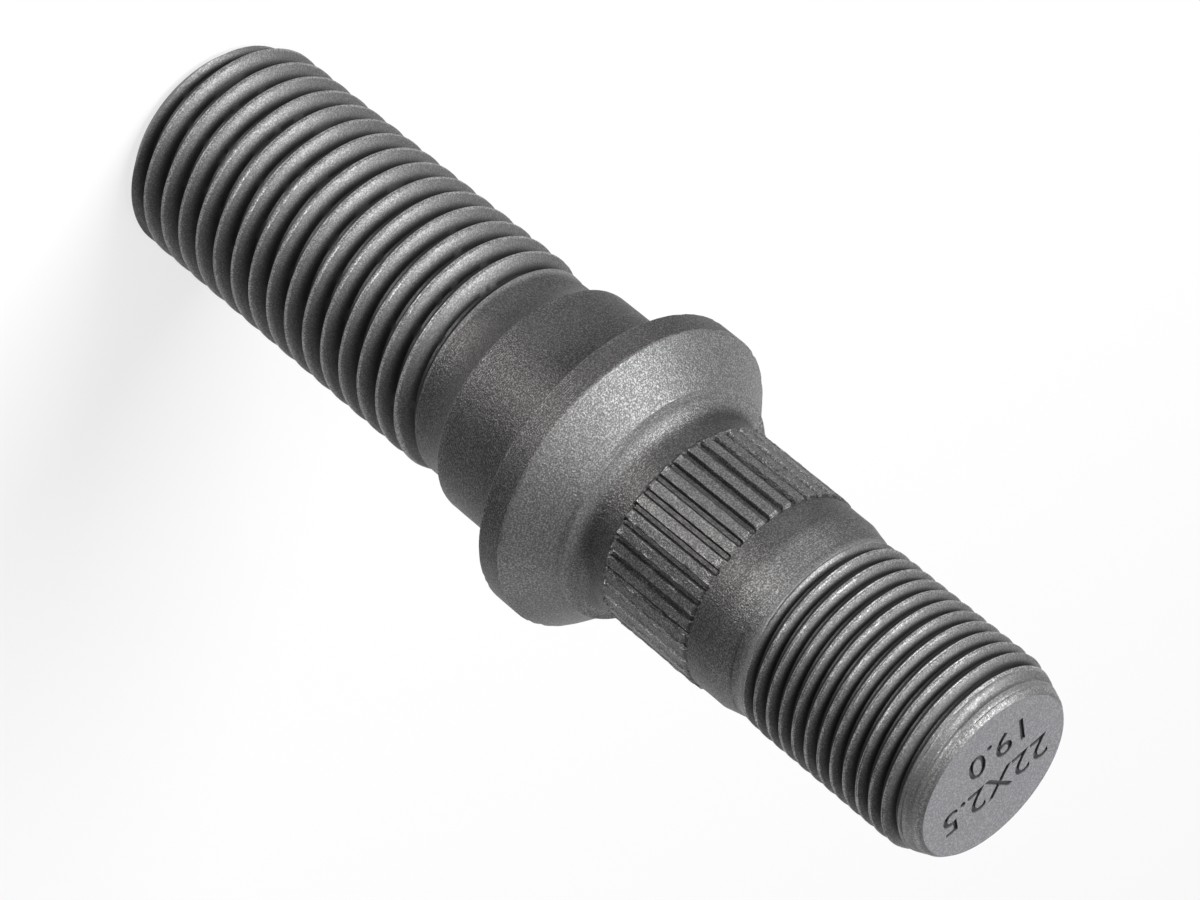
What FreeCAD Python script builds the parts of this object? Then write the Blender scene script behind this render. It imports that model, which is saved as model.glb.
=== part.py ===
import FreeCAD, Part
import math
import os

# A double-ended wheel stud of a heavy vehicle, in millimetres.
# It stands on the end of its wheel-side thread with its axis on Z, and its hub-side thread points up.

# Wheel-side thread, M22 x 2.5, with the diameter taken over its rolled crests
wheel_thread_diameter = 21.8
wheel_thread_pitch = 2.5
wheel_thread_length = 38.6        # full crests, counted from the end face
wheel_runout_length = 1.5         # the crests sink to the neck over this length
wheel_end_chamfer_angle = 45.0    # from the axis, in degrees
wheel_end_margin = 0.08           # the end face lies this far inside the thread's root

# Neck and plain shank between the wheel-side thread and the collar
neck_depth = 0.55                 # the neck lies this far below the thread's crests
neck_length = 1.7
neck_relief_radius = 4.8          # hollow curve from the neck up to the shank
shank_step = 0.6                  # the shank stands this far above the thread's crests
shank_length = 9.43

# Collar: a flat back towards the wheel and a cone towards the hub
collar_width = 3.5                # the rim stands this far out from the shank
collar_rim_length = 2.7
collar_edge_break = 0.15
collar_cone_angle = 45.0          # from the axis, in degrees
seat_step_length = 0.6            # short straight edge where the cone ends
seat_face_width = 0.2             # flat ring between that edge and the fillet
seat_fillet_radius = 1.6

# Press-fit body with rolled serrations
body_step = 0.275                 # the body stands this far above the hub-side crests
body_lead_length = 1.5            # plain stretch between the fillet and the serrations
serration_length = 10.3
serration_height = 0.2            # the ridges stand this far above the body
serration_end_length = 0.25       # slope at each end of the ridges
serration_count = 40
serration_groove_width = 0.66    # at the tops of the ridges
serration_floor_width = 0.36
serration_groove_depth = 0.5      # below the tops of the ridges
land_length = 3.0                 # plain stretch between the serrations and the taper

# Hub-side thread, M19 x 1.5, with the diameter taken over its rolled crests
hub_thread_diameter = 18.85
hub_thread_pitch = 1.5
hub_thread_length = 15.5          # full crests
hub_taper_length = 2.3            # from the body down to the foot of the thread
hub_blank_depth = 0.27            # the foot of the thread lies this far below its crests
hub_rise_length = 2.0             # the crests rise from the foot over this length
hub_end_chamfer_angle = 22.0      # from the axis, in degrees
hub_end_margin = 0.67             # the end face lies this far inside the thread's root
hub_edge_break = 0.35             # steeper edge between the chamfer and the end face

# Both threads have the metric form
flank_angle = 60.0
crest_flat_share = 0.17           # of the pitch
root_flat_share = 0.17


def thread_depth(pitch):
    slope = math.tan(math.radians(flank_angle / 2))
    return pitch * (1 - crest_flat_share - root_flat_share) / 2 / slope


def rise_over(run, angle):
    return run / math.tan(math.radians(angle))


# Radii
wheel_crest = wheel_thread_diameter / 2
wheel_root = wheel_crest - thread_depth(wheel_thread_pitch)
wheel_end = wheel_root - wheel_end_margin
neck = wheel_crest - neck_depth
shank = wheel_crest + shank_step
hub_crest = hub_thread_diameter / 2
hub_root = hub_crest - thread_depth(hub_thread_pitch)
hub_end = hub_root - hub_end_margin
hub_edge = hub_end + hub_edge_break
hub_blank = hub_crest - hub_blank_depth
body = hub_crest + body_step
ridge = body + serration_height
seat_edge = body + seat_fillet_radius + seat_face_width
collar = max(shank, seat_edge) + collar_width

# Heights, from the wheel-side end face upwards
wheel_chamfer_top = rise_over(wheel_crest - wheel_end, wheel_end_chamfer_angle)
neck_bottom = wheel_thread_length + wheel_runout_length
relief_bottom = neck_bottom + neck_length
relief_rise = min(shank - neck, neck_relief_radius)
relief_run = math.sqrt(neck_relief_radius ** 2 - (neck_relief_radius - relief_rise) ** 2)
shank_bottom = relief_bottom + relief_run
collar_bottom = shank_bottom + shank_length
cone_bottom = collar_bottom + collar_rim_length
cone_top = cone_bottom + rise_over(collar - seat_edge, collar_cone_angle)
seat_top = cone_top + seat_step_length
body_bottom = seat_top + seat_fillet_radius
serration_bottom = body_bottom + body_lead_length
serration_top = serration_bottom + serration_length
land_top = serration_top + land_length
hub_foot = land_top + hub_taper_length
hub_thread_bottom = hub_foot + hub_rise_length
hub_chamfer_bottom = hub_thread_bottom + hub_thread_length
hub_edge_bottom = hub_chamfer_bottom + rise_over(hub_crest - hub_edge, hub_end_chamfer_angle)
stud_top = hub_edge_bottom + hub_edge_break


def at(radius, height):
    return FreeCAD.Vector(radius, 0, height)


def outline(points):
    edges = []
    for start, stop in zip(points, points[1:]):
        edges.append(Part.LineSegment(at(*start), at(*stop)).toShape())
    return edges


def arc_about(centre, radius, start_angle, stop_angle):
    points = []
    for angle in (start_angle, (start_angle + stop_angle) / 2, stop_angle):
        turn = math.radians(angle)
        points.append(at(centre[0] + radius * math.cos(turn), centre[1] + radius * math.sin(turn)))
    return Part.Arc(*points).toShape()


def turned_body():
    relief_turn = math.degrees(math.asin(relief_run / neck_relief_radius))
    wheel_side = outline([
        (0, 0), (wheel_end, 0), (wheel_crest, wheel_chamfer_top), (wheel_crest, wheel_thread_length),
        (neck, neck_bottom), (neck, relief_bottom)])
    relief = arc_about((neck + neck_relief_radius, relief_bottom), neck_relief_radius, 180, 180 - relief_turn)
    relief_top = (neck + relief_rise, shank_bottom)
    shoulder = [relief_top] if relief_rise < shank - neck else []
    middle = outline(shoulder + [
        (shank, shank_bottom), (shank, collar_bottom),
        (collar - collar_edge_break, collar_bottom), (collar, collar_bottom + collar_edge_break),
        (collar, cone_bottom), (seat_edge, cone_top), (seat_edge, seat_top),
        (body + seat_fillet_radius, seat_top)])
    fillet = arc_about((body + seat_fillet_radius, body_bottom), seat_fillet_radius, 270, 180)
    hub_side = outline([
        (body, body_bottom), (body, serration_bottom), (ridge, serration_bottom + serration_end_length),
        (ridge, serration_top - serration_end_length), (body, serration_top), (body, land_top),
        (hub_blank, hub_foot), (hub_crest, hub_thread_bottom), (hub_crest, hub_chamfer_bottom),
        (hub_edge, hub_edge_bottom), (hub_end, stud_top), (0, stud_top), (0, 0)])
    section = Part.Face(Part.Wire(wheel_side + [relief] + middle + [fillet] + hub_side))
    return section.revolve(FreeCAD.Vector(0, 0, 0), FreeCAD.Vector(0, 0, 1), 360)


def serration_groove():
    half_floor = serration_floor_width / 2
    half_mouth = serration_groove_width / 2
    floor = ridge - serration_groove_depth
    mouth = ridge + serration_groove_depth
    half_top = half_floor + 2 * (half_mouth - half_floor)
    corners = [
        FreeCAD.Vector(floor, -half_floor, serration_bottom), FreeCAD.Vector(floor, half_floor, serration_bottom),
        FreeCAD.Vector(mouth, half_top, serration_bottom), FreeCAD.Vector(mouth, -half_top, serration_bottom)]
    section = Part.Face(Part.makePolygon(corners + corners[:1]))
    return section.extrude(at(0, serration_length))


def turned(shape, angle):
    return shape.rotated(FreeCAD.Vector(0, 0, 0), FreeCAD.Vector(0, 0, 1), angle)


def wheel_stud():
    serrations = [turned(serration_groove(), 360 * step / serration_count) for step in range(serration_count)]
    return turned_body().cut(Part.makeCompound(serrations))


os.makedirs("parts", exist_ok=True)
wheel_stud().exportStep("parts/wheel_stud.step")
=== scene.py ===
import bpy
import bmesh
import math
import numpy as np
from mathutils import Matrix, Vector


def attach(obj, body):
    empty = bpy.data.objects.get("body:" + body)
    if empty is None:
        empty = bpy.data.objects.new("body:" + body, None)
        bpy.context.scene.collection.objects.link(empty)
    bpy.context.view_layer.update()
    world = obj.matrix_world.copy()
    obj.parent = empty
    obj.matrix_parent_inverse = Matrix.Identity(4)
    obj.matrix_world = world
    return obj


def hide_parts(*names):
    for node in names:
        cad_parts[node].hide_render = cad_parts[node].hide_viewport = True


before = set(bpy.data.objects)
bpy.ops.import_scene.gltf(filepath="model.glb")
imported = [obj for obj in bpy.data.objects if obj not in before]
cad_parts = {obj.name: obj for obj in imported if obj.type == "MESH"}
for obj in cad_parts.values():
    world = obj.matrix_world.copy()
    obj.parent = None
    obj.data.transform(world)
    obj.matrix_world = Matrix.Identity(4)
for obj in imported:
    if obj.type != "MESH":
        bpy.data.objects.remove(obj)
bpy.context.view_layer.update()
mm = 0.001  # the stud is shaped in millimetres and scaled once at the end
fullTurn = 2 * math.pi
print("frame loaded")

# Sizes of the turned blank, as in the solid; heights count from the standing end
blank = {
    "columns": 160,
    "wheelEnd": 9.391, "wheelCrest": 10.9, "wheelRoot": 9.471, "wheelChamferTop": 1.509,
    "wheelCrestTop": 38.6, "neck": 10.35, "neckBottom": 40.1, "neckTop": 41.8,
    "reliefRadius": 4.8, "shank": 11.5, "shankBottom": 44.917, "shankTop": 54.347,
    "collar": 15.0, "collarBreak": 0.15, "rimTop": 57.047, "coneTop": 60.547, "seatTop": 61.147,
    "seatFace": 0.2, "filletRadius": 1.6, "body": 9.7, "bodyBottom": 62.747,
    "ridge": 9.9, "ridgeBottom": 64.247, "ridgeTop": 74.547, "ridgeEnd": 0.25, "serrations": 40,
    "landTop": 77.547, "hubFoot": 79.847, "hubBlank": 9.155,
    "hubCrest": 9.425, "hubRoot": 8.568, "hubCrestBottom": 81.847, "hubChamferBottom": 97.347,
    "hubEdge": 8.248, "hubEdgeBottom": 100.261, "hubEnd": 7.898, "top": 100.611,
}
threadBlank = [  # height and radius at the corners of the blank, along both threads
    (0.0, blank["wheelEnd"]), (blank["wheelChamferTop"], blank["wheelCrest"]),
    (blank["wheelCrestTop"], blank["wheelCrest"]), (blank["neckBottom"], blank["neck"]),
    (blank["neckTop"], blank["neck"]), (blank["landTop"], blank["body"]),
    (blank["hubFoot"], blank["hubBlank"]), (blank["hubCrestBottom"], blank["hubCrest"]),
    (blank["hubChamferBottom"], blank["hubCrest"]), (blank["hubEdgeBottom"], blank["hubEdge"]),
    (blank["top"], blank["hubEnd"]),
]
blankHeights, blankRadii = zip(*threadBlank)
joinHeights = {"neck": 41.5, "lead": 63.9, "land": 75.1, "taper": 79.0}  # where the sections meet
joinGap = 0.002  # points this close become one


# Small helpers for objects and node trees
def newObject(name, data):
    thing = bpy.data.objects.new(name, data)
    bpy.context.scene.collection.objects.link(thing)
    return thing


def newMesh(name, verts, faces):
    mesh = bpy.data.meshes.new(name)
    mesh.from_pydata(verts, [], faces)
    return mesh


def plainMesh(thing):
    graph = bpy.context.evaluated_depsgraph_get()
    return bpy.data.meshes.new_from_object(thing.evaluated_get(graph))


def plug(tree, value, socket):
    if isinstance(value, bpy.types.NodeSocket):
        tree.links.new(value, socket)
    else:
        socket.default_value = value


def calc(tree, operation, *terms):
    node = tree.nodes.new("ShaderNodeMath")
    node.operation = operation
    for term, socket in zip(terms, node.inputs):
        plug(tree, term, socket)
    return node.outputs[0]


def ease(tree, value, low, high, start=0.0, stop=1.0):
    node = tree.nodes.new("ShaderNodeMapRange")
    node.interpolation_type = "SMOOTHSTEP"
    for term, socket in zip((value, low, high, start, stop), node.inputs):
        plug(tree, term, socket)
    return node.outputs[0]


def noise(tree, place, size, seed, detail=2.0):
    node = tree.nodes.new("ShaderNodeTexNoise")
    node.noise_dimensions = "4D"
    plug(tree, place, node.inputs["Vector"])
    plug(tree, seed, node.inputs["W"])
    plug(tree, calc(tree, "DIVIDE", 1.0, size), node.inputs["Scale"])
    plug(tree, detail, node.inputs["Detail"])
    return node.outputs[0]


def newTree(name, kind, inputs, outputs):
    tree = bpy.data.node_groups.new(name, kind)
    for direction, sockets in (("INPUT", inputs), ("OUTPUT", outputs)):
        for socketName, (socketKind, value) in sockets.items():
            socket = tree.interface.new_socket(socketName, in_out=direction, socket_type=socketKind)
            if value is not None:
                socket.default_value = value
    given = tree.nodes.new("NodeGroupInput").outputs
    made = tree.nodes.new("NodeGroupOutput").inputs
    return tree, given, made


def floats(**values):
    return {name: ("NodeSocketFloat", value) for name, value in values.items()}


# Geometry trees: each one reads a point's radius, turn and height and gives it a new radius
geometryIn = {"Blank": ("NodeSocketGeometry", None), "Finish": ("NodeSocketMaterial", None)}
geometryOut = {"Shape": ("NodeSocketGeometry", None)}


def readPoint(tree):
    place = tree.nodes.new("GeometryNodeInputPosition").outputs[0]
    split = tree.nodes.new("ShaderNodeSeparateXYZ")
    plug(tree, place, split.inputs[0])
    x, y, height = split.outputs
    squares = calc(tree, "ADD", calc(tree, "MULTIPLY", x, x), calc(tree, "MULTIPLY", y, y))
    radius = calc(tree, "SQRT", squares)
    turn = calc(tree, "DIVIDE", calc(tree, "ARCTAN2", y, x), fullTurn)
    return {"place": place, "x": x, "y": y, "height": height, "radius": radius, "turn": turn}


def setRadius(tree, given, made, point, newRadius):
    share = calc(tree, "DIVIDE", newRadius, point["radius"])
    moved = tree.nodes.new("ShaderNodeCombineXYZ")
    plug(tree, calc(tree, "MULTIPLY", point["x"], share), moved.inputs[0])
    plug(tree, calc(tree, "MULTIPLY", point["y"], share), moved.inputs[1])
    plug(tree, point["height"], moved.inputs[2])
    setter = tree.nodes.new("GeometryNodeSetPosition")
    plug(tree, given["Blank"], setter.inputs["Geometry"])
    plug(tree, moved.outputs[0], setter.inputs["Position"])
    realized = tree.nodes.new("GeometryNodeRealizeInstances")
    plug(tree, setter.outputs[0], realized.inputs[0])
    finish = tree.nodes.new("GeometryNodeSetMaterial")
    plug(tree, realized.outputs[0], finish.inputs["Geometry"])
    plug(tree, given["Finish"], finish.inputs["Material"])
    plug(tree, finish.outputs[0], made["Shape"])


def awayFromEnds(tree, height, low, high, reach):
    nearLow = ease(tree, calc(tree, "SUBTRACT", height, low), 0.0, reach)
    nearHigh = ease(tree, calc(tree, "SUBTRACT", high, height), 0.0, reach)
    return calc(tree, "MULTIPLY", nearLow, nearHigh)


def unevenSkin(tree, given, place, seed):
    grain = noise(tree, place, given["GrainSize"], seed, detail=3.0)
    return calc(tree, "MULTIPLY", grain, given["Unevenness"])


def rolledThreadTree():
    tree, given, made = newTree("rolledThread", "GeometryNodeTree", {**geometryIn, **floats(
        Pitch=2.5, RootRadius=9.47, Depth=1.43, RootHalfWidth=0.21, RootRounding=0.3, CrestRounding=0.3,
        StartHeight=0.0, FullHeight=30.0, GoneHeight=32.0, Low=0.0, High=40.0, EndCut=0.0,
        SeamDepth=0.03, SeamWidth=0.1, Unevenness=0.02, NickDepth=0.08, GrainSize=1.0,
        Seed=1.0)}, geometryOut)
    flankSlope = math.tan(math.radians(30))
    clearShare = 1.3  # in depths above the root, where a groove that runs out is clear of the blank
    endCutRange = (4.0, 1.6)  # the grooves deepen between these distances from the end
    endReach = 0.4  # the rough skin fades out this close to a section's end
    breakShare, breakRange = 2.5, (0.36, 0.56)  # size in grains and threshold of the seam's breaks
    dentShare, dentRange = 0.6, (0.66, 0.8)  # size in grains and threshold of the dents
    crestShare = 0.22  # of the pitch, on each side of the crest
    point = readPoint(tree)
    place, height, pitch = point["place"], point["height"], given["Pitch"]
    climbed = calc(tree, "DIVIDE", calc(tree, "SUBTRACT", height, given["StartHeight"]), pitch)
    lead = calc(tree, "SUBTRACT", climbed, point["turn"])
    leadPart = calc(tree, "SUBTRACT", lead, calc(tree, "ROUND", lead))
    offset = calc(tree, "MULTIPLY", leadPart, pitch)  # along the axis, from the groove's middle
    grooveHeight = calc(tree, "SUBTRACT", height, offset)
    away = calc(tree, "ABSOLUTE", offset)
    lift = calc(tree, "DIVIDE", calc(tree, "SUBTRACT", away, given["RootHalfWidth"]), flankSlope)
    flank = calc(tree, "SMOOTH_MAX", lift, 0.0, given["RootRounding"])
    fade = ease(tree, grooveHeight, given["FullHeight"], given["GoneHeight"])
    clear = calc(tree, "MULTIPLY", given["Depth"], clearShare)
    runOut = calc(tree, "MULTIPLY_ADD", fade, clear, given["RootRadius"])
    toEnd = calc(tree, "SUBTRACT", given["High"], grooveHeight)
    endCut = calc(tree, "MULTIPLY", ease(tree, toEnd, *endCutRange), given["EndCut"])
    groove = calc(tree, "ADD", calc(tree, "SUBTRACT", runOut, endCut), flank)
    form = calc(tree, "SMOOTH_MIN", groove, point["radius"], given["CrestRounding"])
    # rolling leaves a broken seam along the crest, small dents and an uneven skin
    inner = awayFromEnds(tree, height, given["Low"], given["High"], endReach)
    fromCrest = calc(tree, "SUBTRACT", calc(tree, "MULTIPLY", pitch, 0.5), away)
    breakSize = calc(tree, "MULTIPLY", given["GrainSize"], breakShare)
    broken = ease(tree, noise(tree, place, breakSize, seed=4.0), *breakRange)
    seamCut = ease(tree, fromCrest, given["SeamWidth"], 0.0, 0.0, given["SeamDepth"])
    seam = calc(tree, "MULTIPLY", seamCut, broken)
    skin = unevenSkin(tree, given, place, given["Seed"])
    dentSize = calc(tree, "MULTIPLY", given["GrainSize"], dentShare)
    dents = ease(tree, noise(tree, place, dentSize, seed=9.0), *dentRange)
    atCrest = ease(tree, fromCrest, calc(tree, "MULTIPLY", pitch, crestShare), 0.0)
    nick = calc(tree, "MULTIPLY", calc(tree, "MULTIPLY", dents, given["NickDepth"]), atCrest)
    loss = calc(tree, "MULTIPLY", calc(tree, "ADD", calc(tree, "ADD", seam, skin), nick), inner)
    setRadius(tree, given, made, point, calc(tree, "SUBTRACT", form, loss))
    return tree


def serrationTree():
    tree, given, made = newTree("rolledSerrations", "GeometryNodeTree", {**geometryIn, **floats(
        Count=40.0, RidgeRadius=9.9, HalfWidth=0.3, Depth=0.5, Softness=0.1, Low=64.3, High=74.5,
        Waviness=0.12, WaveLength=1.4, LipHeight=0.05, LipReach=0.1, StartBurr=0.1,
        Unevenness=0.02, GrainSize=0.8, Seed=1.0)}, geometryOut)
    lipSides = (0.1, -0.1, 0.25, 1.0)  # the lip is low on one side of a groove and full on the other
    lipShare = 2.5  # the lip has sunk again at this many reaches from the groove
    patchSize, patchRange = 0.7, (0.4, 0.65)  # breaks in the lips and burrs
    burrRise, burrReach, burrFromWall = 0.15, 0.35, (0.05, 0.2)
    endMargin, endReach = 0.3, 0.2  # the change fades out past the grooves' ends
    point = readPoint(tree)
    place, height, radius = point["place"], point["height"], point["radius"]
    step = calc(tree, "FRACT", calc(tree, "MULTIPLY_ADD", point["turn"], given["Count"], 0.5))
    around = calc(tree, "MULTIPLY", given["RidgeRadius"], fullTurn)
    girth = calc(tree, "DIVIDE", around, given["Count"])
    across = calc(tree, "MULTIPLY", calc(tree, "SUBTRACT", step, 0.5), girth)
    wave = calc(tree, "SUBTRACT", noise(tree, place, given["WaveLength"], given["Seed"]), 0.5)
    half = calc(tree, "MULTIPLY_ADD", wave, given["Waviness"], given["HalfWidth"])
    lowEnd = calc(tree, "ADD", given["Low"], half)
    highEnd = calc(tree, "SUBTRACT", given["High"], half)
    inside = calc(tree, "MINIMUM", calc(tree, "MAXIMUM", height, lowEnd), highEnd)
    along = calc(tree, "SUBTRACT", height, inside)
    acrossSquare = calc(tree, "MULTIPLY", across, across)
    squares = calc(tree, "ADD", acrossSquare, calc(tree, "MULTIPLY", along, along))
    toWall = calc(tree, "SUBTRACT", calc(tree, "SQRT", squares), half)
    opened = ease(tree, toWall, given["Softness"], calc(tree, "MULTIPLY", given["Softness"], -1.0))
    groove = calc(tree, "MULTIPLY", opened, given["Depth"])
    # metal pushed up by rolling: a wavy lip along each ridge and a burr at its start
    lipIn = ease(tree, toWall, 0.0, given["LipReach"])
    lipEnd = calc(tree, "MULTIPLY", given["LipReach"], lipShare)
    lipOut = ease(tree, toWall, lipEnd, given["LipReach"])
    lipHeight = calc(tree, "MULTIPLY", given["LipHeight"], ease(tree, across, *lipSides))
    lip = calc(tree, "MULTIPLY", calc(tree, "MULTIPLY", lipIn, lipOut), lipHeight)
    burrMiddle = calc(tree, "ADD", given["Low"], burrRise)
    fromBurr = calc(tree, "ABSOLUTE", calc(tree, "SUBTRACT", height, burrMiddle))
    onRidge = ease(tree, toWall, *burrFromWall)
    atBurr = calc(tree, "MULTIPLY", ease(tree, fromBurr, burrReach, 0.0), onRidge)
    burr = calc(tree, "MULTIPLY", atBurr, given["StartBurr"])
    patch = ease(tree, noise(tree, place, patchSize, seed=6.0), *patchRange)
    raised = calc(tree, "MULTIPLY", calc(tree, "ADD", lip, burr), patch)
    skin = unevenSkin(tree, given, place, seed=3.0)
    innerLow = calc(tree, "SUBTRACT", given["Low"], endMargin)
    innerHigh = calc(tree, "ADD", given["High"], endMargin)
    inner = awayFromEnds(tree, height, innerLow, innerHigh, endReach)
    gain = calc(tree, "SUBTRACT", calc(tree, "SUBTRACT", raised, groove), skin)
    change = calc(tree, "MULTIPLY", gain, inner)
    setRadius(tree, given, made, point, calc(tree, "ADD", radius, change))
    return tree


def turnedSkinTree():
    tree, given, made = newTree("turnedSkin", "GeometryNodeTree", {**geometryIn, **floats(
        Unevenness=0.03, GrainSize=1.5, NickDepth=0.12, NickSize=0.7, EdgeLow=54.4, EdgeHigh=57.0,
        EdgeReach=0.3, Low=40.0, High=64.0, Seed=1.0)}, geometryOut)
    dentRange = (0.52, 0.72)
    endReach = 0.3
    point = readPoint(tree)
    place, height = point["place"], point["height"]
    skin = unevenSkin(tree, given, place, given["Seed"])
    toLow = calc(tree, "ABSOLUTE", calc(tree, "SUBTRACT", height, given["EdgeLow"]))
    toHigh = calc(tree, "ABSOLUTE", calc(tree, "SUBTRACT", height, given["EdgeHigh"]))
    atEdge = ease(tree, calc(tree, "MINIMUM", toLow, toHigh), given["EdgeReach"], 0.0)
    dents = ease(tree, noise(tree, place, given["NickSize"], seed=8.0), *dentRange)
    nick = calc(tree, "MULTIPLY", calc(tree, "MULTIPLY", dents, atEdge), given["NickDepth"])
    inner = awayFromEnds(tree, height, given["Low"], given["High"], endReach)
    loss = calc(tree, "MULTIPLY", calc(tree, "ADD", skin, nick), inner)
    setRadius(tree, given, made, point, calc(tree, "SUBTRACT", point["radius"], loss))
    return tree


# Blanks for the trees: rings at one height, or rows that climb with the thread
def blankRadius(height):
    return np.interp(height, blankHeights, blankRadii)


def columnAngle(column):
    return fullTurn * column / blank["columns"]


def polar(radius, angle, height):
    return radius * math.cos(angle), radius * math.sin(angle), height


def ring(radius, height):
    return [polar(radius, columnAngle(column), height) for column in range(blank["columns"])]


def ringFaces(rows, columns):
    faces = []
    for row in range(rows - 1):
        for column in range(columns):
            beside = (column + 1) % columns
            faces.append((row * columns + column, row * columns + beside,
                          (row + 1) * columns + beside, (row + 1) * columns + column))
    return faces


def ringBlank(name, profile):
    verts = []
    for radius, height in profile:
        verts += ring(radius, height)
    return newMesh(name, verts, ringFaces(len(profile), blank["columns"]))


def climbingBlank(name, thread, rows):
    columns = blank["columns"]
    wide = columns + 1
    low, high, pitch, startHeight = (thread[key] for key in ("Low", "High", "Pitch", "StartHeight"))
    first = math.floor((low - startHeight) / pitch) - 2
    last = math.ceil((high - startHeight) / pitch) + 1
    starts = [startHeight + turn * pitch + offset for turn in range(first, last) for offset in rows]
    verts = []
    for start in starts:
        for column in range(wide):
            height = min(max(start + pitch * column / columns, low), high)
            verts.append(polar(float(blankRadius(height)), columnAngle(column), height))
    faces = []
    for row in range(len(starts) - 1):
        if starts[row + 1] + pitch < low or starts[row] > high:
            continue
        for column in range(columns):
            corner = row * wide + column
            faces.append((corner, corner + 1, corner + wide + 1, corner + wide))
    mesh = newMesh(name, verts, faces)
    merged = bmesh.new()  # rows that are cut off at an end lie on one another
    merged.from_mesh(mesh)
    bmesh.ops.remove_doubles(merged, verts=merged.verts, dist=joinGap)
    loose = [vert for vert in merged.verts if not vert.link_faces]
    bmesh.ops.delete(merged, geom=loose, context="VERTS")
    merged.to_mesh(mesh)
    merged.free()
    return mesh


def serratedBlank(name, low, high, rows, acrossSteps):
    columns = blank["columns"]
    count = blank["serrations"]
    girth = fullTurn * blank["ridge"] / count
    angles = [fullTurn / count * (step + across / girth) for step in range(count) for across in acrossSteps]
    fine = len(angles)
    slopeHeights = [blank["ridgeBottom"], blank["ridgeBottom"] + blank["ridgeEnd"],
                    blank["ridgeTop"] - blank["ridgeEnd"], blank["ridgeTop"]]
    slopeRadii = [blank["body"], blank["ridge"], blank["ridge"], blank["body"]]
    verts = []
    for height in rows:
        radius = float(np.interp(height, slopeHeights, slopeRadii))
        verts += [polar(radius, angle, height) for angle in angles]
    faces = ringFaces(len(rows), fine)
    share = fine // columns
    for height, row in ((low, 0), (high, len(rows) - 1)):  # a plain ring ends each side
        start = len(verts)
        verts += ring(blank["body"], height)
        for column in range(columns):
            edge = [row * fine + (column * share + extra) % fine for extra in range(share + 1)]
            faces.append((start + column, start + (column + 1) % columns, *edge[::-1]))
    return newMesh(name, verts, faces)


def shaped(mesh, tree, values):
    holder = newObject(mesh.name, mesh)
    modifier = holder.modifiers.new(tree.name, "NODES")
    modifier.node_group = tree
    for item in tree.interface.items_tree:
        if item.in_out == "INPUT" and item.name in values:
            modifier[item.identifier] = values[item.name]
    result = plainMesh(holder)
    holder.modifiers.remove(modifier)
    bpy.data.objects.remove(holder)
    print(mesh.name, len(result.vertices), "points")
    return result


threadTree = rolledThreadTree()
skinTree = turnedSkinTree()
ridgeTree = serrationTree()
print("geometry trees made")


# Shader group that all the finishes share: fine blasted grain, salt specks, patches and turning lines
def blastedGrainGroup():
    tree, given, made = newTree("blastedGrain", "ShaderNodeTree", {
        "Place": ("NodeSocketVector", None),
        **floats(GrainSize=0.12, SpeckleSize=0.13, PatchSize=6.0, LineSpacing=0.18, LineShare=0.0)},
        floats(Height=0.0, Speckle=0.0, Patch=0.0))
    coarseSize, coarseShare = 3.5, 0.5  # a second, coarser grain
    wanderSize, wander = 3.0, 1.5  # the turning lines wander a little
    speckleRange, patchRange = (0.4, 0.7), (0.32, 0.68)
    place = given["Place"]
    grain = noise(tree, place, given["GrainSize"], seed=2.0, detail=1.0)
    coarseGrain = calc(tree, "MULTIPLY", given["GrainSize"], coarseSize)
    coarse = noise(tree, place, coarseGrain, seed=5.0, detail=1.0)
    split = tree.nodes.new("ShaderNodeSeparateXYZ")
    plug(tree, place, split.inputs[0])
    turns = calc(tree, "DIVIDE", split.outputs[2], given["LineSpacing"])
    bent = calc(tree, "MULTIPLY_ADD", noise(tree, place, wanderSize, seed=13.0), wander, turns)
    ripple = calc(tree, "SINE", calc(tree, "MULTIPLY", bent, fullTurn))
    lines = calc(tree, "MULTIPLY", ripple, given["LineShare"])
    height = calc(tree, "MULTIPLY_ADD", coarse, coarseShare, grain)
    plug(tree, calc(tree, "ADD", height, lines), made["Height"])
    speckle = noise(tree, place, given["SpeckleSize"], seed=7.0, detail=1.0)
    plug(tree, ease(tree, speckle, *speckleRange), made["Speckle"])
    patch = noise(tree, place, given["PatchSize"], seed=11.0, detail=3.0)
    plug(tree, ease(tree, patch, *patchRange), made["Patch"])
    return tree


def surfaceMask(tree, name):
    reader = tree.nodes.new("ShaderNodeAttribute")
    reader.attribute_name = name
    return reader.outputs["Fac"]


def blend(tree, share, first, second):
    mixer = tree.nodes.new("ShaderNodeMix")
    mixer.data_type = "RGBA"
    plug(tree, share, mixer.inputs["Factor"])
    for value, socket in ((first, mixer.inputs[6]), (second, mixer.inputs[7])):
        plug(tree, value if isinstance(value, bpy.types.NodeSocket) else (*value, 1.0), socket)
    return mixer.outputs[2]


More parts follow.
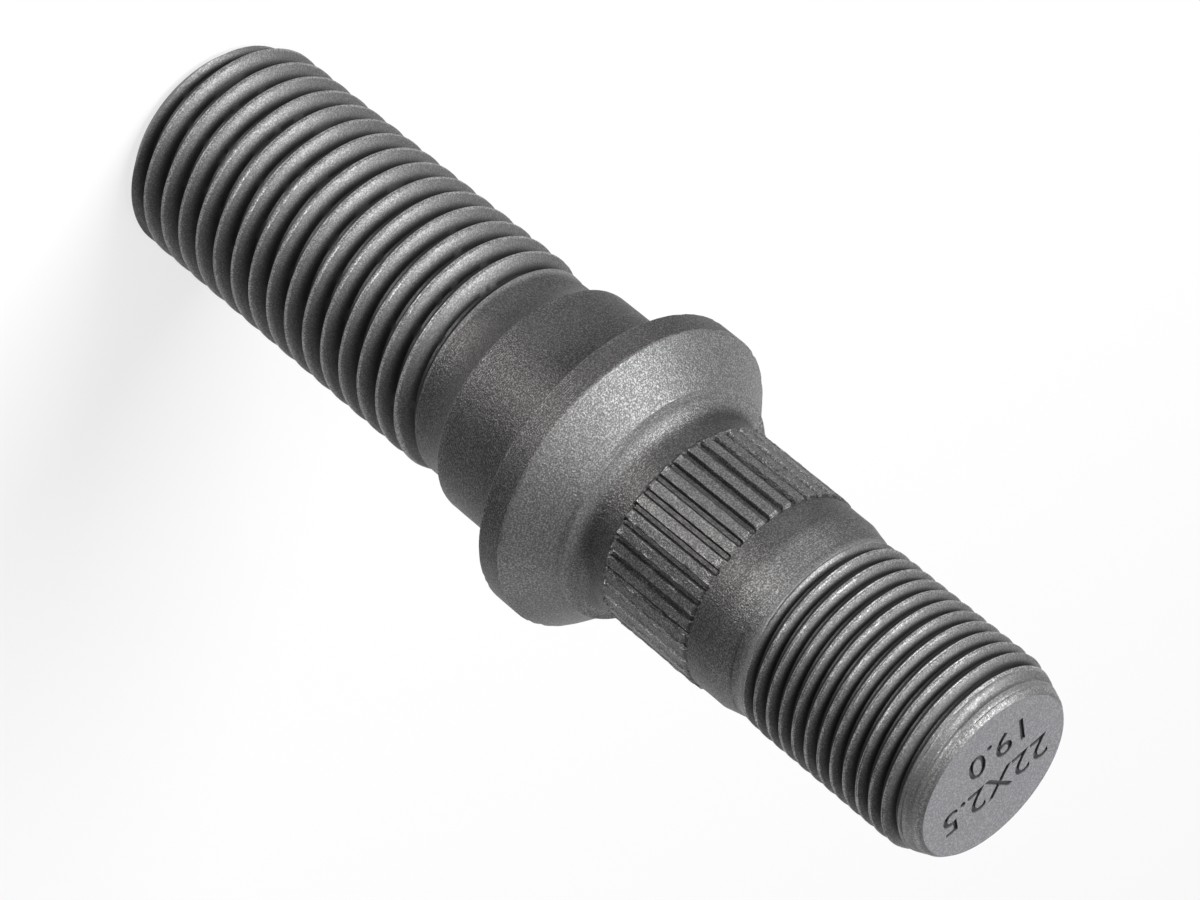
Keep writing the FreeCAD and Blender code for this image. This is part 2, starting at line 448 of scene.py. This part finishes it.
def phosphatedFinish(name, look, grainGroup):
    rubRange = (0.1, 0.6)  # rubbed wear and the painted highlight show on the bright specks first
    alongAxis = 0.25  # a quarter turn of the highlight
    material = bpy.data.materials.new(name)
    material.use_nodes = True
    tree = material.node_tree
    shader = tree.nodes["Principled BSDF"]
    coordinates = tree.nodes.new("ShaderNodeTexCoord")
    inMillimetres = tree.nodes.new("ShaderNodeVectorMath")
    inMillimetres.operation = "SCALE"
    plug(tree, coordinates.outputs["Object"], inMillimetres.inputs[0])
    inMillimetres.inputs["Scale"].default_value = 1 / mm
    grain = tree.nodes.new("ShaderNodeGroup")
    grain.node_tree = grainGroup
    plug(tree, inMillimetres.outputs[0], grain.inputs["Place"])
    for socketName in ("GrainSize", "SpeckleSize", "PatchSize", "LineSpacing", "LineShare"):
        grain.inputs[socketName].default_value = look[socketName]
    speckle = grain.outputs["Speckle"]
    # painted shade: the colour darkens towards the root colour with depth below the blank, in thread and
    # serration grooves and in stamped letters
    grooveShade = ease(tree, surfaceMask(tree, "sunk"), look["darkFrom"], look["darkTo"])
    # rubbed bare steel and a painted highlight: crests, collar edges and serration lips lighten towards the
    # edge colour
    rubbedAndGlint = calc(tree, "MULTIPLY", surfaceMask(tree, "wornAndGlint"), ease(tree, speckle, *rubRange))
    # a lighter, less metallic tone on the cone, taper and ridge tops; across the fillet it is a painted
    # highlight band
    cleanAndLitShare = surfaceMask(tree, "cleanAndLit")
    tone = blend(tree, grain.outputs["Patch"], look["dull"], look["tint"])
    coated = blend(tree, speckle, tone, look["bright"])
    cleaned = blend(tree, speckle, look["cleanDull"], look["cleanBright"])
    rubbedAndGlintTone = blend(tree, rubbedAndGlint, blend(tree, cleanAndLitShare, coated, cleaned), look["edge"])
    plug(tree, blend(tree, grooveShade, rubbedAndGlintTone, look["root"]), shader.inputs["Base Color"])
    rough = calc(tree, "MULTIPLY_ADD", speckle, -look["roughSpread"], look["rough"])
    plug(tree, calc(tree, "MULTIPLY_ADD", rubbedAndGlint, -look["polish"], rough), shader.inputs["Roughness"])
    metallic = calc(tree, "MULTIPLY_ADD", cleanAndLitShare, -look["cleanMatt"], look["metallic"])
    plug(tree, metallic, shader.inputs["Metallic"])
    if look["turned"]:  # fine turning marks stretch the highlight along the axis
        tangent = tree.nodes.new("ShaderNodeTangent")
        tangent.direction_type = "RADIAL"
        tangent.axis = "Z"
        plug(tree, tangent.outputs[0], shader.inputs["Tangent"])
        shader.inputs["Anisotropic"].default_value = look["turned"]
        shader.inputs["Anisotropic Rotation"].default_value = alongAxis
    bump = tree.nodes.new("ShaderNodeBump")
    bump.inputs["Strength"].default_value = look["bump"]
    bump.inputs["Distance"].default_value = look["bumpDepth"] * mm
    plug(tree, grain.outputs["Height"], bump.inputs["Height"])
    plug(tree, bump.outputs[0], shader.inputs["Normal"])
    return material


grainGroup = blastedGrainGroup()
# In each look, root with darkFrom and darkTo is painted shade in grooves and stamps
threadLook = {
    "GrainSize": 0.12, "SpeckleSize": 0.13, "PatchSize": 7.0, "LineSpacing": 0.18, "LineShare": 0.0,
    "dull": (0.09, 0.09, 0.091), "tint": (0.107, 0.107, 0.108), "bright": (0.185, 0.185, 0.185),
    "cleanDull": (0.098, 0.098, 0.099), "cleanBright": (0.185, 0.185, 0.185), "cleanMatt": 0.0,
    "edge": (0.34, 0.34, 0.34), "root": (0.014, 0.014, 0.015), "darkFrom": 0.3, "darkTo": 0.85,
    "rough": 0.52, "roughSpread": 0.12, "polish": 0.05, "metallic": 0.5, "turned": 0.0,
    "bump": 0.6, "bumpDepth": 0.05,
}
bodyLook = {
    "GrainSize": 0.13, "SpeckleSize": 0.13, "PatchSize": 5.0, "LineSpacing": 0.2, "LineShare": 0.1,
    "dull": (0.038, 0.037, 0.038), "tint": (0.0485, 0.047, 0.0472), "bright": (0.112, 0.109, 0.108),
    "cleanDull": (0.088, 0.089, 0.089), "cleanBright": (0.235, 0.235, 0.235), "cleanMatt": 0.45,
    "edge": (0.165, 0.163, 0.161), "root": (0.034, 0.033, 0.033), "darkFrom": 0.2, "darkTo": 0.6,
    "rough": 0.54, "roughSpread": 0.12, "polish": 0.1, "metallic": 0.85, "turned": 0.7,
    "bump": 0.85, "bumpDepth": 0.065,
}
endLook = {
    "GrainSize": 0.16, "SpeckleSize": 0.16, "PatchSize": 4.0, "LineSpacing": 0.2, "LineShare": 0.0,
    "dull": (0.143, 0.146, 0.153), "tint": (0.164, 0.167, 0.173), "bright": (0.233, 0.236, 0.242),
    "cleanDull": (0.147, 0.147, 0.155), "cleanBright": (0.233, 0.233, 0.242), "cleanMatt": 0.0,
    "edge": (0.36, 0.36, 0.36), "root": (0.05, 0.05, 0.053), "darkFrom": 0.02, "darkTo": 0.2,
    "rough": 0.52, "roughSpread": 0.08, "polish": 0.0, "metallic": 0.5, "turned": 0.0,
    "bump": 0.3, "bumpDepth": 0.05,
}
threadSteel = phosphatedFinish("threadSteel", threadLook, grainGroup)
bodySteel = phosphatedFinish("bodySteel", bodyLook, grainGroup)
endFaceSteel = phosphatedFinish("endFaceSteel", endLook, grainGroup)
threadFinish, bodyFinish, endFinish = range(3)  # their places on the skin
print("finishes made")

# Wheel-side thread, right-hand
wheelThread = {
    "Pitch": 2.5, "RootRadius": blank["wheelRoot"], "Depth": blank["wheelCrest"] - blank["wheelRoot"],
    "RootHalfWidth": 0.2, "RootRounding": 0.35, "CrestRounding": 0.3, "StartHeight": 0.05,
    "FullHeight": 40.2, "GoneHeight": 41.4, "Low": 0.0, "High": joinHeights["neck"], "EndCut": 0.0,
    "SeamDepth": 0.04, "SeamWidth": 0.14, "Unevenness": 0.03, "NickDepth": 0.1,
    "GrainSize": 1.1, "Seed": 21.0, "Finish": threadSteel,
}
wheelRows = [0, 0.22, 0.5, 0.8, 1.0, 1.12, 1.25, 1.38, 1.5, 1.7, 2.0, 2.28]  # within one pitch
wheelMesh = shaped(climbingBlank("wheelThread", wheelThread, wheelRows), threadTree, wheelThread)

# Neck, shank, collar and the lead of the press-fit body
turnedSkin = {
    "Unevenness": 0.03, "GrainSize": 1.6, "NickDepth": 0.13, "NickSize": 0.6,
    "EdgeLow": blank["shankTop"], "EdgeHigh": blank["rimTop"], "EdgeReach": 0.3,
    "Low": joinHeights["neck"], "High": joinHeights["lead"], "Seed": 31.0, "Finish": bodySteel,
}
turnedRows = {
    "relief": 10, "shank": 14, "back": 6, "rim": 9, "cone": 16, "seat": 2, "fillet": 9, "lead": 4,
}
shoulderRound = ((0.08, -0.09), (0.02, 0.0), (0.0, 0.12))  # how far in and how far up


def arcPoints(centre, radius, startAngle, stopAngle, steps):
    points = []
    for step in range(steps + 1):
        angle = math.radians(startAngle + (stopAngle - startAngle) * step / steps)
        points.append((centre[0] + radius * math.cos(angle), centre[1] + radius * math.sin(angle)))
    return points


def stretch(start, stop, steps):
    return [(start[0] + (stop[0] - start[0]) * step / steps, start[1] + (stop[1] - start[1]) * step / steps)
            for step in range(1, steps + 1)]


def turnedProfile():
    neck, shank, collar, body = (blank[name] for name in ("neck", "shank", "collar", "body"))
    relief, fillet = blank["reliefRadius"], blank["filletRadius"]
    reliefTurn = math.degrees(math.asin((blank["shankBottom"] - blank["neckTop"]) / relief))
    reliefCentre = (neck + relief, blank["neckTop"])
    filletCentre = (body + fillet, blank["bodyBottom"])
    backEdge = (collar - blank["collarBreak"], blank["shankTop"])
    seatEdge = fillet + body + blank["seatFace"]
    profile = [(neck, joinHeights["neck"]), (neck, blank["neckTop"])]
    profile += arcPoints(reliefCentre, relief, 180, 180 - reliefTurn, turnedRows["relief"])[1:-1]
    profile += [(shank - inward, blank["shankBottom"] + upward) for inward, upward in shoulderRound]
    profile += stretch(profile[-1], (shank, blank["shankTop"]), turnedRows["shank"])
    profile += stretch(profile[-1], backEdge, turnedRows["back"])
    profile += [(collar, blank["shankTop"] + blank["collarBreak"])]
    profile += stretch(profile[-1], (collar, blank["rimTop"]), turnedRows["rim"])
    profile += stretch(profile[-1], (seatEdge, blank["coneTop"]), turnedRows["cone"])
    profile += stretch(profile[-1], (seatEdge, blank["seatTop"]), turnedRows["seat"])
    profile += [(body + fillet, blank["seatTop"])]
    profile += arcPoints(filletCentre, fillet, 270, 180, turnedRows["fillet"])[1:]
    profile += stretch(profile[-1], (body, joinHeights["lead"]), turnedRows["lead"])
    return profile


turnedMesh = shaped(ringBlank("turnedPart", turnedProfile()), skinTree, turnedSkin)

# Rolled serrations of the press fit
serrations = {
    "Count": float(blank["serrations"]), "RidgeRadius": blank["ridge"], "HalfWidth": 0.27, "Depth": 0.34,
    "Softness": 0.09, "Low": 64.35, "High": 74.6, "Waviness": 0.18, "WaveLength": 1.1,
    "LipHeight": 0.075, "LipReach": 0.09, "StartBurr": 0.25, "Unevenness": 0.03,
    "GrainSize": 0.7, "Seed": 41.0, "Finish": bodySteel,
}
# rows of points up the ridges, and steps across one ridge from the middle of its groove
ridgeRows = [64.02, 64.15, 64.25, 64.35, 64.45, 64.55, 64.65, 64.8]
ridgeRows += [65.0 + 0.4 * step for step in range(23)]
ridgeRows += [74.0, 74.15, 74.25, 74.35, 74.45, 74.55, 74.65, 74.75, 74.92]
acrossSteps = [0, 0.18, 0.27, 0.35, 0.43, 0.56, 0.777, 0.995, 1.125, 1.205, 1.285, 1.375]
ridgeBlank = serratedBlank("serrations", joinHeights["lead"], joinHeights["land"], ridgeRows, acrossSteps)
ridgeMesh = shaped(ridgeBlank, ridgeTree, serrations)

# Plain land and the taper down to the hub-side thread
landSkin = {**turnedSkin, "Low": joinHeights["land"], "High": joinHeights["taper"]}
landRows = 4
landFoot = (blank["body"], joinHeights["land"])
landEdge = (blank["body"], blank["landTop"])
taperEnd = (float(blankRadius(joinHeights["taper"])), joinHeights["taper"])
landProfile = [landFoot] + stretch(landFoot, landEdge, landRows) + stretch(landEdge, taperEnd, landRows)
landMesh = shaped(ringBlank("land", landProfile), skinTree, landSkin)

# Hub-side thread, right-hand
hubThread = {
    "Pitch": 1.5, "RootRadius": blank["hubRoot"], "Depth": blank["hubCrest"] - blank["hubRoot"],
    "RootHalfWidth": 0.12, "RootRounding": 0.2, "CrestRounding": 0.16, "StartHeight": 0.85,
    "FullHeight": 81.4, "GoneHeight": 79.9, "Low": joinHeights["taper"], "High": blank["top"],
    "EndCut": 0.22, "SeamDepth": 0.08, "SeamWidth": 0.1, "Unevenness": 0.03, "NickDepth": 0.08,
    "GrainSize": 0.8, "Seed": 22.0, "Finish": threadSteel,
}
hubRows = [0, 0.13, 0.32, 0.5, 0.6, 0.68, 0.75, 0.82, 0.9, 1.0, 1.18, 1.37]  # within one pitch
hubMesh = shaped(climbingBlank("hubThread", hubThread, hubRows), threadTree, hubThread)

# End face with the plain thread sizes stamped in
stamp = {
    "lines": (("22X2.5", 0.0, 0.05), ("19.0", -0.95, -4.4)),  # text, how far aside and how far up
    "height": 4.1, "depth": 0.22, "turn": -22.0, "spacing": 1.0, "thicker": 0.03, "curveSteps": 3,
    "plugDepth": 1.5,
}


def stampCutter(text, aside, lineHeight):
    curve = bpy.data.curves.new("stampLine", "FONT")
    curve.body = text
    curve.align_x = "CENTER"
    curve.size = stamp["height"]
    curve.extrude = stamp["depth"]
    curve.space_character = stamp["spacing"]
    curve.offset = stamp["thicker"]
    curve.resolution_u = stamp["curveSteps"]
    writer = newObject("stampLine", curve)
    letters = plainMesh(writer)
    bpy.data.objects.remove(writer)
    turned = Matrix.Rotation(math.radians(stamp["turn"]), 4, "Z")
    letters.transform(turned @ Matrix.Translation((aside, lineHeight, 0)))
    letters.transform(Matrix.Translation((0, 0, blank["top"])))
    return newObject("stampCut", letters)


def stampedEnd():
    columns = blank["columns"]
    verts = ring(blank["hubEnd"], blank["top"] - stamp["plugDepth"]) + ring(blank["hubEnd"], blank["top"])
    caps = [tuple(reversed(range(columns))), tuple(range(columns, 2 * columns))]
    holder = newObject("endPlug", newMesh("endPlug", verts, caps + ringFaces(2, columns)))
    cutters = [stampCutter(*line) for line in stamp["lines"]]
    for cutter in cutters:
        cut = holder.modifiers.new("stampCut", "BOOLEAN")
        cut.object = cutter
        cut.solver = "EXACT"
    result = plainMesh(holder)
    for thing in cutters + [holder]:
        bpy.data.objects.remove(thing)
    trimmed = bmesh.new()  # only the face and its stamps are kept
    trimmed.from_mesh(result)
    keptFrom = blank["top"] - stamp["plugDepth"] / 2
    plugFaces = [face for face in trimmed.faces if min(vert.co.z for vert in face.verts) < keptFrom]
    bmesh.ops.delete(trimmed, geom=plugFaces, context="FACES")
    trimmed.to_mesh(result)
    trimmed.free()
    print("end face", len(result.polygons), "faces")
    return result


endMesh = stampedEnd()

# One closed skin from all the sections
ground = 0.01  # points below this height lie on the standing end
runOuts = (blank["neckBottom"], 80.4)  # between these heights the threads take the body's finish
sharpAngle = 38.0
sections = [(wheelMesh, threadFinish), (turnedMesh, bodyFinish), (ridgeMesh, bodyFinish),
            (landMesh, bodyFinish), (hubMesh, threadFinish), (endMesh, endFinish)]
solid = bmesh.new()
for mesh, finish in sections:
    before = len(solid.faces)
    solid.from_mesh(mesh)
    solid.faces.ensure_lookup_table()
    for face in solid.faces[before:]:
        face.material_index = finish
bmesh.ops.remove_doubles(solid, verts=solid.verts, dist=joinGap)
standing = [edge for edge in solid.edges if edge.is_boundary and max(v.co.z for v in edge.verts) < ground]
for face in bmesh.ops.contextual_create(solid, geom=standing)["faces"]:
    face.material_index = endFinish
bmesh.ops.recalc_face_normals(solid, faces=solid.faces)
for face in solid.faces:
    if face.material_index == threadFinish and runOuts[0] < face.calc_center_median().z < runOuts[1]:
        face.material_index = bodyFinish
print("open edges", len([edge for edge in solid.edges if not edge.is_manifold]))
skin = bpy.data.meshes.new("studSkin")
solid.to_mesh(skin)
solid.free()
for finish in (threadSteel, bodySteel, endFaceSteel):
    skin.materials.append(finish)

# Masks for the finishes: how deep each point lies below the blank, which paints shade into grooves and
# stamps; how worn it is, which lightens rubbed bare steel and paints highlights on crests, edges and lips;
# and how clean, a lighter tone that also paints the fillet's highlight band
maskSizes = {
    "crestDepth": 0.09, "crests": ((2.5, 39.0), (81.0, 98.5)), "faceInset": 0.05, "faceDepth": 1.0,
    "ridges": (64.1, 74.9), "ridgeShare": 0.6, "ridgeSpread": 0.04, "ridgeMost": 0.85,
    "ridgeClean": 0.35, "ridgeCleanDepth": 0.1, "edgeGain": 1.4, "collarInset": 0.07,
}
wornAndGlintEdges = [  # radius, height, reach and share of each edge lightened as rubbed bare steel and as a painted highlight
    (blank["collar"], blank["rimTop"], 0.25, 0.9),
    (blank["collar"] - maskSizes["collarInset"], blank["shankTop"], 0.25, 1.0),
    (blank["shank"], blank["shankBottom"], 0.2, 0.7),
    (blank["hubEdge"], blank["hubEdgeBottom"], 0.3, 0.35),
]
cleanAndLitBands = [  # height and share of the lighter clean-steel tone, which on the fillet is a painted highlight band
    (0, 1), (40.1, 1), (40.7, 0), (57.0, 0), (57.05, 1), (61.3, 1), (62.1, 0),
    (77.1, 0), (77.7, 0.3), (79.8, 0.35), (80.4, 0.8), (101, 1),
]


def within(values, span):
    return (values > span[0]) & (values < span[1])


places = np.zeros(len(skin.vertices) * 3, np.float32)
skin.vertices.foreach_get("co", places)
places = places.reshape(-1, 3)
heights = places[:, 2]
radii = np.hypot(places[:, 0], places[:, 1])
inRidges = within(heights, maskSizes["ridges"])
onWheelThread = heights < joinHeights["neck"]
onHubThread = heights > joinHeights["taper"]
onFace = (radii < blank["hubEnd"] - maskSizes["faceInset"]) & (heights > blank["top"] - maskSizes["faceDepth"])
onGround = (heights < ground) & (radii < blank["wheelRoot"])
onCrest = within(heights, maskSizes["crests"][0]) | within(heights, maskSizes["crests"][1])

outer = np.where(inRidges, blank["ridge"], blankRadius(heights))
# painted shade: depth below the blank, which darkens grooves and stamped letters
sunk = np.where(onWheelThread | onHubThread | inRidges, np.maximum(outer - radii, 0), 0)
sunk = np.where(onFace, blank["top"] - heights, sunk)
sunk = np.where(onGround, 0, sunk)
# crests lighten as rubbed bare steel and as a painted highlight
wornAndGlint = np.where(onCrest, np.clip(1 - sunk / maskSizes["crestDepth"], 0, 1), 0)
sunk = np.where(onWheelThread, sunk / wheelThread["Depth"], sunk)  # on a thread, a share of its depth
sunk = np.where(onHubThread & ~onFace, sunk / hubThread["Depth"], sunk)
# serration lips lighten as rubbed steel and as a painted highlight
ridgeWearAndGlint = maskSizes["ridgeShare"] + (radii - blank["ridge"]) / maskSizes["ridgeSpread"]
wornAndGlint = np.where(inRidges, np.clip(ridgeWearAndGlint, 0, maskSizes["ridgeMost"]), wornAndGlint)
for edgeRadius, edgeHeight, reach, share in wornAndGlintEdges:
    fromEdge = np.hypot(radii - edgeRadius, heights - edgeHeight)
    bare = np.clip(maskSizes["edgeGain"] - maskSizes["edgeGain"] * fromEdge / reach, 0, 1)
    wornAndGlint = np.maximum(wornAndGlint, share * bare)
ridgeTops = inRidges & (radii > blank["ridge"] - maskSizes["ridgeCleanDepth"])
cleanAndLit = np.where(ridgeTops, maskSizes["ridgeClean"], np.interp(heights, *zip(*cleanAndLitBands)))
for maskName, values in (("sunk", sunk), ("wornAndGlint", wornAndGlint), ("cleanAndLit", cleanAndLit)):
    mask = skin.attributes.new(maskName, "FLOAT", "POINT")
    mask.data.foreach_set("value", values.astype(np.float32))
print("masks laid on", len(skin.vertices), "points")

skin.transform(Matrix.Scale(mm, 4))
for face in skin.polygons:
    face.use_smooth = face.material_index != endFinish
skin.set_sharp_from_angle(angle=math.radians(sharpAngle))
skin.update()
wheelStud = newObject("studSkin", skin)
print("stud skin", sum(len(face.vertices) - 2 for face in skin.polygons), "triangles")
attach(wheelStud, "root")
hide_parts("wheel_stud")

# Pale floor, white to the camera and in reflections, that keeps the shadow
studio = {
    "floorSize": 6.0, "floorColour": 0.7, "floorRough": 0.9, "glow": 0.75,
    "world": 0.03, "worldColour": (0.95, 0.97, 1.0),
}
half = studio["floorSize"] / 2
floorCorners = [(-half, -half, 0), (half, -half, 0), (half, half, 0), (-half, half, 0)]
floorMesh = newMesh("floor", floorCorners, [(0, 1, 2, 3)])
floor = newObject("floor", floorMesh)
floorFinish = bpy.data.materials.new("paleFloor")
floorFinish.use_nodes = True
floorTree = floorFinish.node_tree
floorShader = floorTree.nodes["Principled BSDF"]
floorShader.inputs["Base Color"].default_value = (studio["floorColour"],) * 3 + (1,)
floorShader.inputs["Roughness"].default_value = studio["floorRough"]
floorShader.inputs["Specular IOR Level"].default_value = 0.0
rayKind = floorTree.nodes.new("ShaderNodeLightPath").outputs
seen = calc(floorTree, "MAXIMUM", rayKind["Is Camera Ray"], rayKind["Is Glossy Ray"])
seen = calc(floorTree, "MAXIMUM", seen, rayKind["Is Transmission Ray"])
white = floorTree.nodes.new("ShaderNodeEmission")
white.inputs["Strength"].default_value = 1.0
floorMix = floorTree.nodes.new("ShaderNodeMixShader")
plug(floorTree, calc(floorTree, "MULTIPLY", seen, studio["glow"]), floorMix.inputs[0])
plug(floorTree, floorShader.outputs[0], floorMix.inputs[1])
plug(floorTree, white.outputs[0], floorMix.inputs[2])
plug(floorTree, floorMix.outputs[0], floorTree.nodes["Material Output"].inputs["Surface"])
floorMesh.materials.append(floorFinish)

world = bpy.data.worlds.new("studioWorld")
world.use_nodes = True
worldLight = world.node_tree.nodes["Background"].inputs
worldLight["Color"].default_value = (*studio["worldColour"], 1.0)
worldLight["Strength"].default_value = studio["world"]
bpy.context.scene.world = world

lamps = {  # direction from the stud, distance, width and height, power, colour
    "keyBox": ((-0.57, -0.27, 0.78), 0.6, (0.34, 0.34), 6.2, (1.0, 1.0, 1.0)),
    "sideBox": ((-0.9, -0.4, 0.35), 0.6, (0.4, 0.4), 0.8, (1.0, 1.0, 1.0)),
    "topBox": ((-0.1, -0.4, 0.9), 0.6, (0.25, 0.25), 1.2, (1.0, 1.0, 1.0)),
    "backBox": ((0.1, 0.95, 0.32), 0.8, (0.6, 0.6), 1.8, (0.97, 0.985, 1.0)),
    "frontStrip": ((0.04, -1.0, 0.0), 0.42, (0.3, 0.1), 2.3, (1.0, 0.98, 0.965)),
    "rimBox": ((0.9, 0.45, 0.15), 0.6, (0.35, 0.35), 0.9, (1.0, 1.0, 1.0)),
}
lampAim = Vector((0, 0, 0.05))  # the middle of the stud
for lampName, (direction, distance, (width, height), power, colour) in lamps.items():
    light = bpy.data.lights.new(lampName, "AREA")
    light.shape = "RECTANGLE"
    light.size = width
    light.size_y = height
    light.energy = power
    light.color = colour
    lamp = newObject(lampName, light)
    away = Vector(direction).normalized()
    lamp.location = lampAim + away * distance
    lamp.rotation_mode = "QUATERNION"
    lamp.rotation_quaternion = (-away).to_track_quat("-Z", "Y")
    lamp.visible_diffuse = lampName != "frontStrip"  # the strip only gleams
print("floor and lamps set")

# The photograph's viewing angle: looking down on the hub-side end, rolled so that the stud lies across
view = {"fromAxis": 58.73, "distance": 411.9, "aimHeight": 52.65, "aside": -0.2, "lens": 144.8,
        "sensor": 36.0, "clipStart": 0.01, "axisInPicture": (0.7734, 0.6339)}
tilt = math.radians(view["fromAxis"])
back = Vector((0, -math.sin(tilt), math.cos(tilt)))
along = Vector((0, math.cos(tilt), math.sin(tilt)))
side = Vector((1, 0, 0))
acrossShare, downShare = view["axisInPicture"]
right = along * acrossShare - side * downShare
up = -(along * downShare + side * acrossShare)
cameraData = bpy.data.cameras.new("photoCamera")
cameraData.lens = view["lens"]
cameraData.sensor_width = view["sensor"]
cameraData.clip_start = view["clipStart"]
camera = newObject("photoCamera", cameraData)
spot = (Vector((view["aside"], 0, view["aimHeight"])) + back * view["distance"]) * mm
turnedView = Matrix((right, up, back)).transposed().to_4x4()
camera.matrix_world = Matrix.Translation(spot) @ turnedView
bpy.context.scene.camera = camera
bpy.context.scene.view_settings.view_transform = "Standard"
print("camera set")
